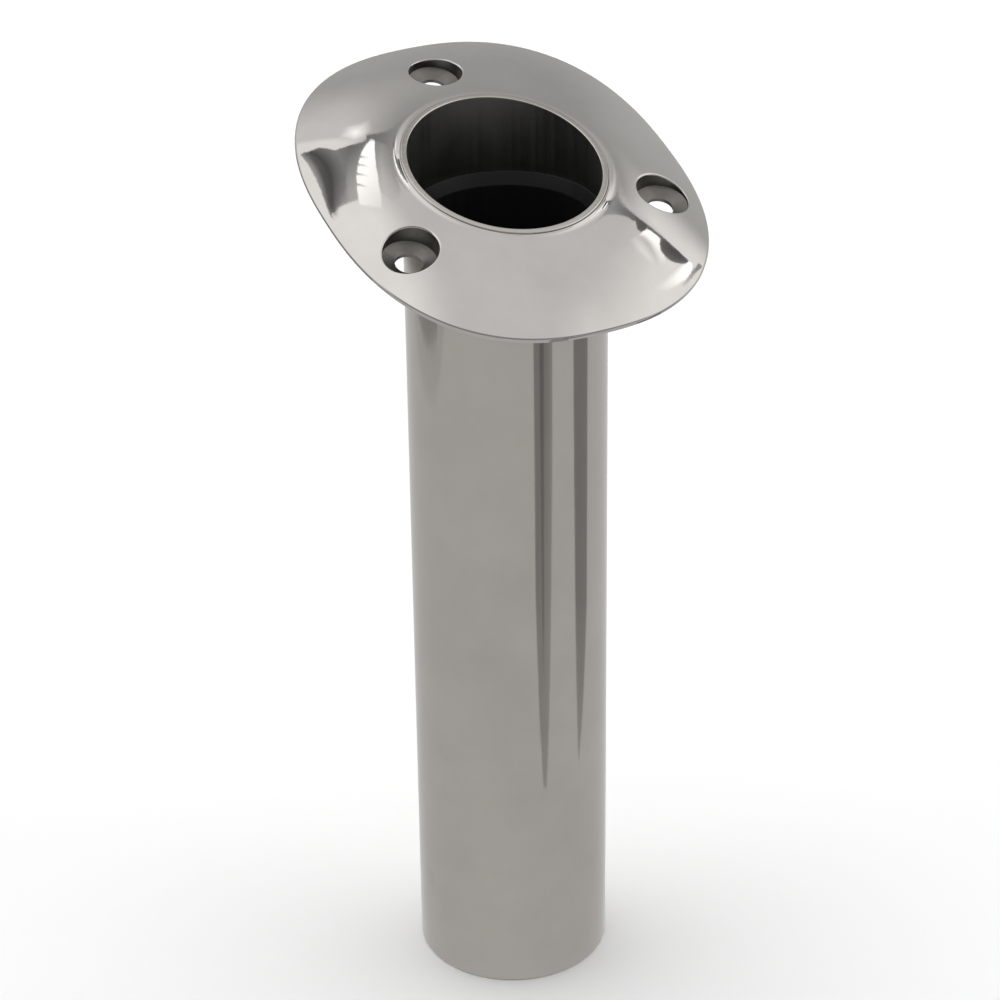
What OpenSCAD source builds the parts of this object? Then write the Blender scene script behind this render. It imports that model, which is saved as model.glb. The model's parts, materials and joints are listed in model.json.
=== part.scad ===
// Flush-mount rod holder: a long polished stainless tube, closed off at the top by a domed
// oval deck flange that leans over the tube, with a black plastic sleeve inside the tube and
// a cross pin near the foot that the slots of a rod butt drop over.
//
// The tube stands along +Z. The flange leans towards -Y. The origin is the centre of the
// screw circle, on the flange's flat underside, which is the face that sits on the deck.

/* [Tube] */
// Outside diameter of the tube
tube_od = 50.8; // [48:0.1:51]
// Wall of the tube
tube_wall = 1.5; // [1.2:0.1:2]
// Length on the axis, from the centre of the mouth to the cut foot
tube_length = 230; // [200:1:300]

/* [Flange] */
// Lean of the flange away from square to the tube, in degrees
lean = 17.5; // [0:0.5:20]
// Length of the flange, in the direction in which it leans
flange_length = 112; // [110:1:120]
// Width of the flange, across the lean
flange_width = 94; // [93:1:104]
// How square the oval is: 2 is an ellipse, more fills the corners
squareness = 2.4; // [2:0.1:2.6]
// Height of the mouth's lip above the deck
lip_height = 8.3; // [8:0.1:9]
// Height of the dome where it meets the lip
dome_height = 7.5; // [7.2:0.1:7.8]
// Thickness of the flange at its edge
edge_height = 1.4; // [1.2:0.1:1.8]
// How full the dome is: 1 is a straight cone, more is a rounder shoulder
fullness = 1.8; // [1.5:0.1:2.2]
// Width of the cove in which the dome runs up to the tube's lip
cove = 2.2; // [1.4:0.1:2.6]
// Radius that rolls the dome over into its edge
edge_round = 0.7; // [0.4:0.1:0.8]

/* [Screw holes] */
// Diameter of the circle on which the holes lie
screw_circle = 79; // [78:0.5:80]
// Number of screws
screw_count = 3; // [3]
// Diameter of the hole for the screw's shank
screw_hole = 6.8; // [5:0.1:7]
// Diameter of the recess for the screw's head
head_recess = 13.4; // [12:0.1:13.8]

/* [Underside] */
// Width of the flat land around the edge that beds on the deck
land_width = 4.6; // [4:0.2:5.6]
// Skin of the casting over its hollow back
skin = 2.2; // [2:0.1:2.6]

/* [Sleeve] */
// Inside diameter of the plastic sleeve
sleeve_bore = 42.8; // [42:0.1:44]
// How far the sleeve's top lies below the centre of the mouth
sleeve_depth = 12.6; // [12:0.2:18]
// Length of the sleeve
sleeve_length = 176; // [120:1:180]

/* [Cross pin] */
// Diameter of the cross pin
pin_diameter = 6; // [5:0.5:6.5]
// Height of the pin's axis above the foot
pin_height = 25; // [20:1:30]

/* [Hidden] */
$fn = 96;

// Steps around the oval and across its dome
oval_steps = 120;
dome_steps = 12;
cove_steps = 3;
edge_steps = 3;
hollow_steps = 4;
bead_steps = 4;
// Gap between faces that touch, so that no two of them are the same surface
seat_gap = 0.05;
// Overlap of a cut past the face that it opens
cut_past = 1;

tube_r = tube_od / 2;
tube_bore_r = tube_r - tube_wall;
// The tube's axis and the height of the mouth's centre on it
tube_y = -lip_height * sin(lean);
mouth_z = lip_height * cos(lean);
foot_z = mouth_z - tube_length;

half_length = flange_length / 2;
half_width = flange_width / 2;
// Width of the flat left between the tube and the top of the cove, and the cove's rise
lip_land = 0.3;
cove_rise = 0.5;
// Slope of the dome where the edge's roll takes over, and the break along the deck
edge_slope = 25;
deck_break = 0.5;
// Share of the dome's width that the hollow back reaches
hollow_share = 0.8;
// Wall of the collar round the tube, and radius of the bosses round the screw holes
collar_wall = 4;
// Height of the collar's foot above the deck, which leaves the weld bead clear of the deck
collar_foot = 3;
boss_r = head_recess / 2 + 2.2;
// The seat of a countersunk head: a shallow cone between these heights above the deck
seat_top = 2.3;
seat_foot = 0.9;
// Leg of the weld bead between collar and tube, and thickness left at its toe
bead = 2.6;
toe = 0.4;
// The sleeve's running gap in the tube, and the taper of its mouth that guides the butt in
sleeve_gap = 0.1;
lead_in = 3.2;
lead_in_edge = 0.8;
sleeve_top = tube_length - sleeve_depth;

// Radius of the oval outline, drawn in by inset, at angle t from the lean's direction
function oval_radius(t, inset = 0) =
    pow(pow(abs(cos(t)) / (half_length - inset), squareness)
        + pow(abs(sin(t)) / (half_width - inset), squareness), -1 / squareness);

// Place of the tube's axis, up the lean, where it passes height z above the deck
function tube_centre_y(z) = (z - lip_height) * tan(lean);

// Radius of the tube's oblique section in a plane parallel to the deck, at angle t
function section_radius(t, r) =
    r / sqrt(pow(cos(t) * cos(lean), 2) + pow(sin(t), 2));

// Height of the dome at share w of the way out
function dome_z(w) = edge_height + (dome_height - edge_height) * (1 - pow(w, fullness));

// Point of the deck plane at angle t from the lean's direction, which is -Y
function oval_point(t, r, z) = [r * sin(t), -r * cos(t), z];

// One ring of points around the oval
function ring(w, z, inset = 0) = [
    for (k = [0 : oval_steps - 1])
        let (t = 360 * k / oval_steps)
        let (inner = section_radius(t, tube_r) + cove)
        oval_point(t, inner + (oval_radius(t, inset) - inner) * w, z)
            + [0, tube_centre_y(dome_height) * (1 - w), 0]
];

// One ring of the cove at share s of the way in, from the foot of the dome to the lip
function cove_ring(s) = [
    for (k = [0 : oval_steps - 1])
        let (t = 360 * k / oval_steps)
        let (z = dome_height + cove_rise * s * s)
        oval_point(t, section_radius(t, tube_r) + cove + (lip_land - cove) * s, z)
            + [0, tube_centre_y(z), 0]
];

// One ring of the rolled edge, where its surface has turned to slope b
function edge_ring(b) =
    ring(1, edge_height - edge_round * (cos(edge_slope) - cos(b)), edge_round * (1 - sin(b)));

// Closed solid through a stack of rings, lowest first, with flat ends
module ring_stack(rings) {
    n = len(rings[0]);
    last = len(rings) - 1;
    sides = [
        for (j = [0 : last - 1], k = [0 : n - 1])
            let (a = j * n + k)
            let (b = j * n + (k + 1) % n)
            each [[a, b + n, b], [a, a + n, b + n]]
    ];
    foot = [for (k = [0 : n - 1]) k];
    top = [for (k = [n - 1 : -1 : 0]) last * n + k];
    polyhedron(points = [for (r = rings) each r], faces = concat([foot], sides, [top]));
}

// Places its children in the deck's own plane: z up from the deck, -y down the lean
module on_deck() rotate([lean, 0, 0]) children();

// Places its children on the tube's axis, upright, with z = 0 at the foot
module on_tube() translate([0, tube_y, foot_z]) children();

// Places its children at each screw hole, in the deck's plane
module at_screws() {
    for (k = [0 : screw_count - 1])
        rotate([0, 0, 360 * k / screw_count])
            translate([0, screw_circle / 2, 0]) children();
}

// Solid dome of the flange: from the deck up the rolled edge, over the dome, to the lip
module dome() {
    rolled_in = edge_round * (1 - sin(edge_slope));
    ring_stack(concat(
        [ring(1, 0, deck_break)],
        [ring(1, deck_break / 2)],
        [for (i = [0 : edge_steps]) edge_ring(90 - (90 - edge_slope) * i / edge_steps)],
        [for (i = [dome_steps - 1 : -1 : 0])
            ring(i / dome_steps, dome_z(i / dome_steps), rolled_in)],
        [for (i = [1 : cove_steps]) cove_ring(i / cove_steps)]
    ));
}

// Hollow that the casting leaves under its skin, inside the land that beds on the deck
module hollow_back() {
    ring_stack([
        ring(1, -cut_past, land_width),
        for (i = [hollow_steps : -1 : 0])
            let (w = i / hollow_steps)
            ring(w, dome_z(w * hollow_share) - skin, land_width)
    ]);
}

// Recess, seat and clearance hole for one countersunk screw
module screw_hole_cut() {
    translate([0, 0, seat_top])
        cylinder(r = head_recess / 2, h = lip_height);
    translate([0, 0, seat_foot])
        cylinder(r1 = screw_hole / 2, r2 = head_recess / 2,
                 h = seat_top - seat_foot);
    translate([0, 0, -cut_past])
        cylinder(r = screw_hole / 2, h = seat_foot + 2 * cut_past);
}

// Collar round the tube: square to the tube outside, cut flat above the deck at its foot
module collar() {
    intersection() {
        rotate([-lean, 0, 0]) translate([0, tube_y, -tube_r])
            cylinder(r = tube_r + collar_wall, h = 3 * tube_r);
        translate([-tube_od, -tube_od, collar_foot]) cube(2 * tube_od);
    }
}

// The cast deck flange: domed oval, hollow behind, with a collar and three screw bosses
module flange() color([0.80, 0.79, 0.77]) {
    difference() {
        on_deck() difference() {
            dome();
            difference() {
                hollow_back();
                at_screws() translate([0, 0, -cut_past]) cylinder(r = boss_r, h = lip_height);
                collar();
            }
            at_screws() screw_hole_cut();
        }
        translate([0, tube_y, -tube_r]) cylinder(r = tube_r + seat_gap, h = 3 * tube_r);
    }
}

// Weld bead in the corner between the collar's flat foot and the tube
module flange_weld() color([0.66, 0.64, 0.61]) {
    difference() {
        on_deck() ring_stack([
            for (i = [bead_steps : -1 : 0])
                let (a = 90 * i / bead_steps)
                let (z = collar_foot - bead * sin(a))
                [
                    for (k = [0 : oval_steps / 2 - 1])
                        let (t = 360 * k / (oval_steps / 2))
                        oval_point(t, section_radius(t, tube_r) + toe + (bead - toe) * cos(a), z)
                            + [0, tube_centre_y(z), 0]
                ]
        ]);
        on_tube() cylinder(r = tube_r + seat_gap, h = tube_length + tube_r);
    }
}

// The tube: cut square at the foot, and to the flange's lean at the mouth, with one hole
// through both walls for the cross pin
module tube() color([0.76, 0.75, 0.73]) {
    difference() {
        on_tube() cylinder(r = tube_r, h = tube_length + tube_r);
        on_tube() translate([0, 0, -cut_past])
            cylinder(r = tube_bore_r, h = tube_length + tube_r + 2 * cut_past);
        on_deck() translate([-tube_od, -tube_od, lip_height])
            cube([2 * tube_od, 2 * tube_od, tube_od]);
        pin_line(pin_diameter / 2 + seat_gap);
    }
}

// Straight bar across the tube at the pin's height, longer than the tube is wide
module pin_line(r) {
    on_tube() translate([-tube_od, 0, pin_height]) rotate([0, 90, 0])
        cylinder(r = r, h = 2 * tube_od);
}

// The cross pin: a round bar through both walls, its ends ground flush with the tube
module cross_pin() color([0.70, 0.69, 0.67]) {
    intersection() {
        pin_line(pin_diameter / 2);
        on_tube() cylinder(r = tube_r, h = 2 * pin_height);
    }
}

// The plastic sleeve that guards the rod: a plain pipe with a tapered mouth
module sleeve() color([0.07, 0.07, 0.07]) {
    on_tube() difference() {
        translate([0, 0, sleeve_top - sleeve_length])
            cylinder(r = tube_bore_r - sleeve_gap, h = sleeve_length);
        translate([0, 0, sleeve_top - sleeve_length - cut_past])
            cylinder(r = sleeve_bore / 2, h = sleeve_length + cut_past);
        translate([0, 0, sleeve_top - lead_in])
            cylinder(r1 = sleeve_bore / 2, r2 = tube_bore_r - sleeve_gap - lead_in_edge,
                     h = lead_in);
    }
}

flange();
tube();
flange_weld();
sleeve();
cross_pin();
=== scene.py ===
import json
import math

import bmesh
import bpy
import numpy as np
from mathutils import Matrix, Vector
from mathutils.geometry import delaunay_2d_cdt


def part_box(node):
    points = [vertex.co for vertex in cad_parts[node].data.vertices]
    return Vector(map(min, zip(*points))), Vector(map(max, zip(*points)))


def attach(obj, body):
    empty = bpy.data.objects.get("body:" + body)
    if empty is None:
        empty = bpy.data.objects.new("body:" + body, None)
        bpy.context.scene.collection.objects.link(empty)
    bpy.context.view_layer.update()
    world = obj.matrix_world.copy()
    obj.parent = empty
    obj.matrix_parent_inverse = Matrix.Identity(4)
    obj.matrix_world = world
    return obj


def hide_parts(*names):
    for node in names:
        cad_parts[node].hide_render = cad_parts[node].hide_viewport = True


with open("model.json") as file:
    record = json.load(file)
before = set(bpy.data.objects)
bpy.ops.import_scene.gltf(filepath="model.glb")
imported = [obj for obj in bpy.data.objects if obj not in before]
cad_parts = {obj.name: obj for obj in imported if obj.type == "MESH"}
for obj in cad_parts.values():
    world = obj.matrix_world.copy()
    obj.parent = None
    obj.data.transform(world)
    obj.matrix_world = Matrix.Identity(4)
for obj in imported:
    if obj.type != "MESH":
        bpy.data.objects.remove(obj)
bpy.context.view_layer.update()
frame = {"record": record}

# ---------------------------------------------------------------------------------------
# The set-out: where the tube's axis, its mouth and the deck's plane lie.
# Every piece below is placed from these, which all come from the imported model.
# ---------------------------------------------------------------------------------------
mounts = {m["name"]: m for m in frame["record"]["mounts"]}
tube_low, tube_high = (Vector(c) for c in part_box("tube"))
tube_radius = (tube_high.x - tube_low.x) / 2
axis_y = (tube_high.y + tube_low.y) / 2
foot_z = tube_low.z
deck_up = Vector(mounts["deck_screws"]["axis"])
lean = math.atan2(-deck_up.y, deck_up.z)
mouth_z = tube_high.z - tube_radius * math.tan(lean)
lip_height = mouth_z / math.cos(lean)
deck_to_part = Matrix.Rotation(lean, 4, "X")
mm = 0.001


def axis_y_on_deck(height):
    """Where the tube's axis crosses a plane at this height above the deck, in deck terms."""
    return (height - lip_height) * math.tan(lean)


def slanted_radius(turn, radius):
    """Radius of a pipe's slanted section in the deck's plane, turned from the lean's way."""
    return radius / math.hypot(math.cos(turn) * math.cos(lean), math.sin(turn))


# ---------------------------------------------------------------------------------------
# Tube: 2 inch stainless tube with a 1.5 mm wall, drawn, cut to length and mirror polished.
# Its mouth is sawn to the flange's lean and rounded over; its foot is cut square.
# ---------------------------------------------------------------------------------------
tube_wall = 1.5 * mm
mouth_round = 0.7 * mm
foot_round = 0.25 * mm


def new_tree(name, *inputs):
    """An empty geometry tree that makes a mesh, with these named number inputs."""
    tree = bpy.data.node_groups.new(name, "GeometryNodeTree")
    for label, kind in inputs:
        tree.interface.new_socket(label, in_out="INPUT", socket_type=kind)
    tree.interface.new_socket("Mesh", in_out="OUTPUT", socket_type="NodeSocketGeometry")
    return tree, tree.nodes.new("NodeGroupInput"), tree.nodes.new("NodeGroupOutput")


def maths(tree, operation, *values):
    """A Math node of this operation, fed with sockets or plain numbers."""
    node = tree.nodes.new("ShaderNodeMath")
    node.operation = operation
    for socket, value in zip(node.inputs, values):
        if isinstance(value, bpy.types.NodeSocket):
            tree.links.new(value, socket)
        else:
            socket.default_value = value
    return node.outputs[0]


def feed(tree, node, **values):
    """Sets or links a node's inputs by name, with underscores for spaces."""
    for label, value in values.items():
        socket = node.inputs[label.replace("_", " ")]
        if isinstance(value, bpy.types.NodeSocket):
            tree.links.new(value, socket)
        else:
            socket.default_value = value
    return node


def run_tree(name, tree, settings):
    """Runs a tree once on an empty mesh and gives the plain object that it makes."""
    carrier = bpy.data.objects.new(name + "_carrier", bpy.data.meshes.new(name + "_carrier"))
    bpy.context.collection.objects.link(carrier)
    modifier = carrier.modifiers.new("make", "NODES")
    modifier.node_group = tree
    for item in tree.interface.items_tree:
        if item.in_out == "INPUT" and item.name in settings:
            modifier[item.identifier] = settings[item.name]
    seen = carrier.evaluated_get(bpy.context.evaluated_depsgraph_get())
    mesh = bpy.data.meshes.new_from_object(seen)
    carrier.modifiers.clear()
    bpy.data.objects.remove(carrier)
    mesh.name = name
    piece = bpy.data.objects.new(name, mesh)
    bpy.context.collection.objects.link(piece)
    return piece


def steel(name, tint, shine, grain, lines):
    """Polished stainless: a tint, the roughness range and how drawn lines and haze show."""
    material = bpy.data.materials.new(name)
    material.use_nodes = True
    tree = material.node_tree
    surface = tree.nodes["Principled BSDF"]
    surface.inputs["Metallic"].default_value = 1.0
    place = tree.nodes.new("ShaderNodeTexCoord").outputs["Object"]

    haze = tree.nodes.new("ShaderNodeTexNoise")
    feed(tree, haze, Vector=place, Scale=grain, Detail=5.0, Roughness=0.6)
    drawn = tree.nodes.new("ShaderNodeMapping")
    drawn.inputs["Scale"].default_value = lines
    tree.links.new(place, drawn.inputs["Vector"])
    streak = tree.nodes.new("ShaderNodeTexNoise")
    feed(tree, streak, Vector=drawn.outputs[0], Scale=1.0, Detail=6.0, Roughness=0.65)

    colour = tree.nodes.new("ShaderNodeValToRGB")
    colour.color_ramp.elements[0].position = 0.30
    colour.color_ramp.elements[0].color = (*[c * 0.94 for c in tint], 1)
    colour.color_ramp.elements[1].position = 0.72
    colour.color_ramp.elements[1].color = (*[min(c * 1.04, 1) for c in tint], 1)
    tree.links.new(haze.outputs["Fac"], colour.inputs["Fac"])
    tree.links.new(colour.outputs["Color"], surface.inputs["Base Color"])

    mixed = maths(tree, "ADD", maths(tree, "MULTIPLY", haze.outputs["Fac"], 0.5),
                  maths(tree, "MULTIPLY", streak.outputs["Fac"], 0.5))
    spread = tree.nodes.new("ShaderNodeMapRange")
    feed(tree, spread, Value=mixed, From_Min=0.35, From_Max=0.68, To_Min=shine[0], To_Max=shine[1])
    tree.links.new(spread.outputs[0], surface.inputs["Roughness"])

    bump = tree.nodes.new("ShaderNodeBump")
    feed(tree, bump, Strength=0.035, Distance=0.0002, Height=streak.outputs["Fac"])
    tree.links.new(bump.outputs["Normal"], surface.inputs["Normal"])
    return material


def pipe_tree():
    """A pipe swept round a circle: a rectangle with rounded corners, sheared at its top."""
    tree, given, made = new_tree(
        "pipe_with_slanted_mouth",
        ("Outer Radius", "NodeSocketFloat"), ("Wall", "NodeSocketFloat"),
        ("Length", "NodeSocketFloat"), ("Mouth Round", "NodeSocketFloat"),
        ("Foot Round", "NodeSocketFloat"), ("Slope", "NodeSocketFloat"),
        ("Steps", "NodeSocketInt"), ("Axis Y", "NodeSocketFloat"),
        ("Foot Z", "NodeSocketFloat"), ("Metal", "NodeSocketMaterial"),
        ("Inner Metal", "NodeSocketMaterial"))
    size = given.outputs
    half_wall = maths(tree, "MULTIPLY", size["Wall"], 0.5)
    path = tree.nodes.new("GeometryNodeCurvePrimitiveCircle")
    feed(tree, path, Resolution=size["Steps"],
         Radius=maths(tree, "SUBTRACT", size["Outer Radius"], half_wall))
    wall = tree.nodes.new("GeometryNodeCurvePrimitiveQuadrilateral")
    feed(tree, wall, Width=size["Wall"], Height=size["Length"])

    spot = tree.nodes.new("GeometryNodeInputPosition")
    apart = tree.nodes.new("ShaderNodeSeparateXYZ")
    tree.links.new(spot.outputs[0], apart.inputs[0])
    at_top = maths(tree, "GREATER_THAN", apart.outputs["Y"], 0.0)
    round_off = tree.nodes.new("ShaderNodeMix")
    tree.links.new(at_top, round_off.inputs["Factor"])
    tree.links.new(size["Foot Round"], round_off.inputs["A"])
    tree.links.new(size["Mouth Round"], round_off.inputs["B"])
    fillet = tree.nodes.new("GeometryNodeFilletCurve")
    fillet.mode = "POLY"
    feed(tree, fillet, Curve=wall.outputs["Curve"], Count=6, Radius=round_off.outputs["Result"])

    sweep = tree.nodes.new("GeometryNodeCurveToMesh")
    feed(tree, sweep, Curve=path.outputs["Curve"], Profile_Curve=fillet.outputs["Curve"])
    up = maths(tree, "GREATER_THAN", apart.outputs["Z"], 0.0)
    slide = maths(tree, "MULTIPLY", maths(tree, "MULTIPLY", apart.outputs["Y"], size["Slope"]), up)
    raise_by = maths(tree, "ADD", maths(tree, "MULTIPLY", size["Length"], 0.5), size["Foot Z"])
    offset = tree.nodes.new("ShaderNodeCombineXYZ")
    feed(tree, offset, Y=size["Axis Y"], Z=maths(tree, "ADD", slide, raise_by))
    shear = tree.nodes.new("GeometryNodeSetPosition")
    feed(tree, shear, Geometry=sweep.outputs["Mesh"], Offset=offset.outputs[0])
    real = tree.nodes.new("GeometryNodeRealizeInstances")
    tree.links.new(shear.outputs[0], real.inputs[0])
    finish = tree.nodes.new("GeometryNodeSetMaterial")
    feed(tree, finish, Geometry=real.outputs[0], Material=size["Metal"])
    # The inside is left as the mill drew it, and its far darker tint is painted shade: every face nearer
    # the axis than the rounded lip
    from_axis = tree.nodes.new("ShaderNodeVectorMath")
    from_axis.operation = "LENGTH"
    level = tree.nodes.new("ShaderNodeCombineXYZ")
    feed(tree, level, X=apart.outputs["X"],
         Y=maths(tree, "SUBTRACT", apart.outputs["Y"], size["Axis Y"]))
    tree.links.new(level.outputs[0], from_axis.inputs[0])
    bore = maths(tree, "SUBTRACT", size["Outer Radius"], size["Wall"])
    inside = maths(tree, "LESS_THAN", from_axis.outputs["Value"], maths(tree, "ADD", bore, 0.00002))
    inner = tree.nodes.new("GeometryNodeSetMaterial")
    feed(tree, inner, Geometry=finish.outputs[0], Selection=inside, Material=size["Inner Metal"])
    tree.links.new(inner.outputs[0], made.inputs["Mesh"])
    return tree


tube_steel = steel("tube_steel", (0.485, 0.459, 0.425), (0.045, 0.10), 38.0, (900, 900, 14))

# Painted shade: just under the deck, where the flange shades the tube, the polish is painted a darker brown
# and made duller
tree = tube_steel.node_tree
surface = tree.nodes["Principled BSDF"]
below_deck = tree.nodes.new("ShaderNodeVectorMath")
below_deck.operation = "DOT_PRODUCT"
below_deck.inputs[1].default_value = (0, math.sin(lean), -math.cos(lean))
tree.links.new(tree.nodes["Texture Coordinate"].outputs["Object"], below_deck.inputs[0])
flange_shade_band = tree.nodes.new("ShaderNodeMapRange")
flange_shade_band.interpolation_type = "SMOOTHSTEP"
feed(tree, flange_shade_band, Value=below_deck.outputs["Value"], From_Min=0.021, From_Max=0.008,
     To_Min=0.0, To_Max=1.0)
painted_shade_share = maths(tree, "MULTIPLY", flange_shade_band.outputs["Result"],
                    maths(tree, "GREATER_THAN", below_deck.outputs["Value"], 0.001))
for socket, kind, shaded_value in (("Base Color", "Color", (0.20, 0.175, 0.14, 1)),
                            ("Roughness", "Float", 0.36)):
    mix = tree.nodes.new("ShaderNodeMix")
    mix.data_type = "RGBA" if kind == "Color" else "FLOAT"
    ends = {end.identifier: end for end in (*mix.inputs, *mix.outputs)}
    tree.links.new(painted_shade_share, ends["Factor_Float"])
    tree.links.new(surface.inputs[socket].links[0].from_socket, ends["A_" + kind])
    ends["B_" + kind].default_value = shaded_value
    tree.links.new(ends["Result_" + kind], surface.inputs[socket])
# Painted shade: the bore's steel is tinted far darker than the outside; its roughness is the mill finish
shaded_mill_steel = steel("shaded_mill_steel", (0.185, 0.182, 0.174), (0.34, 0.52), 60.0, (700, 700, 10))
tube = run_tree("tube_body", pipe_tree(), {
    "Outer Radius": tube_radius, "Wall": tube_wall, "Length": mouth_z - foot_z,
    "Mouth Round": mouth_round, "Foot Round": foot_round, "Slope": math.tan(lean),
    "Steps": 256, "Axis Y": axis_y, "Foot Z": foot_z, "Metal": tube_steel,
    "Inner Metal": shaded_mill_steel})


def even_shading(piece):
    """Lets the broad faces set the shading, so that a rounded edge doesn't bend the wall's."""
    mesh = piece.data
    mesh.polygons.foreach_set("use_smooth", [True] * len(mesh.polygons))
    count = len(mesh.vertices)
    total = np.zeros((count, 3))
    for face in mesh.polygons:
        weight = np.array(face.normal) * face.area
        for vertex in face.vertices:
            total[vertex] += weight
    total /= np.linalg.norm(total, axis=1)[:, None]
    mesh.normals_split_custom_set_from_vertices(total.tolist())


def outward(piece):
    """Merges doubles and turns every face outwards."""
    shape = bmesh.new()
    shape.from_mesh(piece.data)
    bmesh.ops.remove_doubles(shape, verts=shape.verts, dist=1e-7)
    bmesh.ops.recalc_face_normals(shape, faces=shape.faces)
    shape.to_mesh(piece.data)
    shape.free()


outward(tube)
even_shading(tube)
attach(tube, "root")
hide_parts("tube")

# ---------------------------------------------------------------------------------------
# Flange: investment-cast stainless oval, domed and mirror polished on top, left as cast in
# its hollow back. The tube comes up through its collar; three screw heads sink into it.
# ---------------------------------------------------------------------------------------
half_length = 56 * mm
half_width = (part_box("flange")[1][0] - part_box("flange")[0][0]) / 2
squareness = 2.4
dome_height = 7.5 * mm
edge_height = 1.4 * mm
fullness = 1.8
cove = 2.2 * mm
cove_rise = 0.5 * mm
lip_land = 0.3 * mm
edge_inset = 0.4 * mm
deck_break = 0.5 * mm
bore_radius = tube_radius + 0.05 * mm
screw_ring = mounts["deck_screws"]["dims"]["pcd_mm"] / 2 * mm
screw_radius = mounts["deck_screws"]["dims"]["hole_r_mm"] * mm
screw_count = mounts["deck_screws"]["dims"]["count"]
head_radius = 6.7 * mm
head_round = 0.45 * mm
seat_top = 2.3 * mm
seat_foot = 0.9 * mm
land_width = 4.6 * mm
skin = 2.2 * mm
wall_draught = 3.2
collar_wall = 4 * mm
collar_foot = 3 * mm
boss_radius = head_radius + 2.2 * mm
around = 240


def oval_radius(turn, inset=0.0):
    """Radius of the oval outline, drawn in by inset."""
    along = abs(math.cos(turn)) / (half_length - inset)
    across = abs(math.sin(turn)) / (half_width - inset)
    return (along ** squareness + across ** squareness) ** (-1 / squareness)


def spot_at(turn, radius, height, centre_y=0.0):
    """A point in deck terms, turned from the lean's way, which is -y."""
    return (radius * math.sin(turn), centre_y - radius * math.cos(turn), height)


def turn_and_radius(x, y):
    return math.atan2(x, -y), math.hypot(x, y)


def dome_width(turn):
    """How far the dome spans, from the foot of its cove out to the rolled edge."""
    return oval_radius(turn, edge_inset) - slanted_radius(turn, tube_radius) - cove


def dome(x, y):
    """Height of the dome above the deck, with the cove in which it runs up to the lip."""
    turn, radius = turn_and_radius(x, y - axis_y_on_deck(dome_height))
    from_tube = radius - slanted_radius(turn, tube_radius)
    if from_tube < cove:
        rise = min((cove - from_tube) / (cove - lip_land), 1.0)
        return dome_height + cove_rise * rise ** 2
    turn, radius = turn_and_radius(x, y)
    share = (radius - slanted_radius(turn, tube_radius) - cove) / dome_width(turn)
    return edge_height + (dome_height - edge_height) * (1 - max(share, 0.0) ** fullness)


def slope_normal(surface, x, y, up=1.0):
    """The way a height surface faces at a point, from its slope there."""
    step = 2e-6
    dx = (surface(x + step, y) - surface(x - step, y)) / (2 * step)
    dy = (surface(x, y + step) - surface(x, y - step)) / (2 * step)
    return Vector((-dx * up, -dy * up, up)).normalized()


class Skin:
    """Collects the flange's patches, each with its own exact normals, into one mesh."""

    def __init__(self):
        self.points, self.faces, self.normals, self.slots = [], [], [], []

    def add(self, points, normals, faces, slot=0):
        start = len(self.points)
        self.points += points
        for face in faces:
            self.faces.append([start + k for k in face])
            self.normals.append([normals[k] for k in face])
            self.slots.append(slot)

    def strip(self, rows, slot=0):
        """A band of quads through closed rows of points, shaded from its own shape."""
        grid = np.array(rows)
        along = np.gradient(grid, axis=0)
        round_ = np.roll(grid, -1, axis=1) - np.roll(grid, 1, axis=1)
        normal = np.cross(round_, along)
        normal /= np.linalg.norm(normal, axis=2)[:, :, None]
        high, wide = grid.shape[:2]
        faces = [(j * wide + k, j * wide + (k + 1) % wide,
                  (j + 1) * wide + (k + 1) % wide, (j + 1) * wide + k)
                 for j in range(high - 1) for k in range(wide)]
        self.add(grid.reshape(-1, 3).tolist(), normal.reshape(-1, 3).tolist(), faces, slot)

    def sheet(self, surface, loops, inner, up, slot=0):
        """A height surface between an outer loop and holes, with these points inside it."""
        flat, edges = [], []
        for loop in loops:
            start = len(flat)
            flat += [Vector(p[:2]) for p in loop]
            edges += [(start + k, start + (k + 1) % len(loop)) for k in range(len(loop))]
        flat += [Vector(p) for p in inner]
        made = delaunay_2d_cdt(flat, edges, [], 0, 1e-9)
        points = [(p.x, p.y, surface(p.x, p.y)) for p in made[0]]
        normals = [slope_normal(surface, p.x, p.y, up) for p in made[0]]
        faces = [list(f) for f in made[2]]
        holes = loops[1:]
        kept = []
        for face in faces:
            middle = sum((made[0][k] for k in face), Vector((0, 0))) / len(face)
            if not any(inside(middle, hole) for hole in holes) and inside(middle, loops[0]):
                kept.append(face if up > 0 else face[::-1])
        self.add(points, normals, kept, slot)

    def build(self, name, materials):
        mesh = bpy.data.meshes.new(name)
        mesh.from_pydata([deck_to_part @ Vector(p) for p in self.points], [], self.faces)
        for material in materials:
            mesh.materials.append(material)
        mesh.polygons.foreach_set("material_index", self.slots)
        turned = deck_to_part.to_3x3()
        corner = mesh.attributes.new("shade", "FLOAT_VECTOR", "CORNER")
        wanted = [turned @ Vector(n) for face in self.normals for n in face]
        corner.data.foreach_set("vector", np.array(wanted).ravel())
        shape = bmesh.new()
        shape.from_mesh(mesh)
        bmesh.ops.remove_doubles(shape, verts=shape.verts, dist=2e-6)
        shape.to_mesh(mesh)
        shape.free()
        mesh.polygons.foreach_set("use_smooth", [True] * len(mesh.polygons))
        held = np.zeros(len(mesh.loops) * 3)
        mesh.attributes["shade"].data.foreach_get("vector", held)
        mesh.attributes.remove(mesh.attributes["shade"])
        mesh.normals_split_custom_set(held.reshape(-1, 3).tolist())
        piece = bpy.data.objects.new(name, mesh)
        bpy.context.collection.objects.link(piece)
        return piece


def inside(point, loop):
    """True where a flat point lies inside a closed loop."""
    hit = False
    x, y = point[0], point[1]
    for (x1, y1), (x2, y2) in zip((p[:2] for p in loop), (p[:2] for p in loop[1:] + loop[:1])):
        if (y1 > y) != (y2 > y) and x < (x2 - x1) * (y - y1) / (y2 - y1) + x1:
            hit = not hit
    return hit


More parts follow.
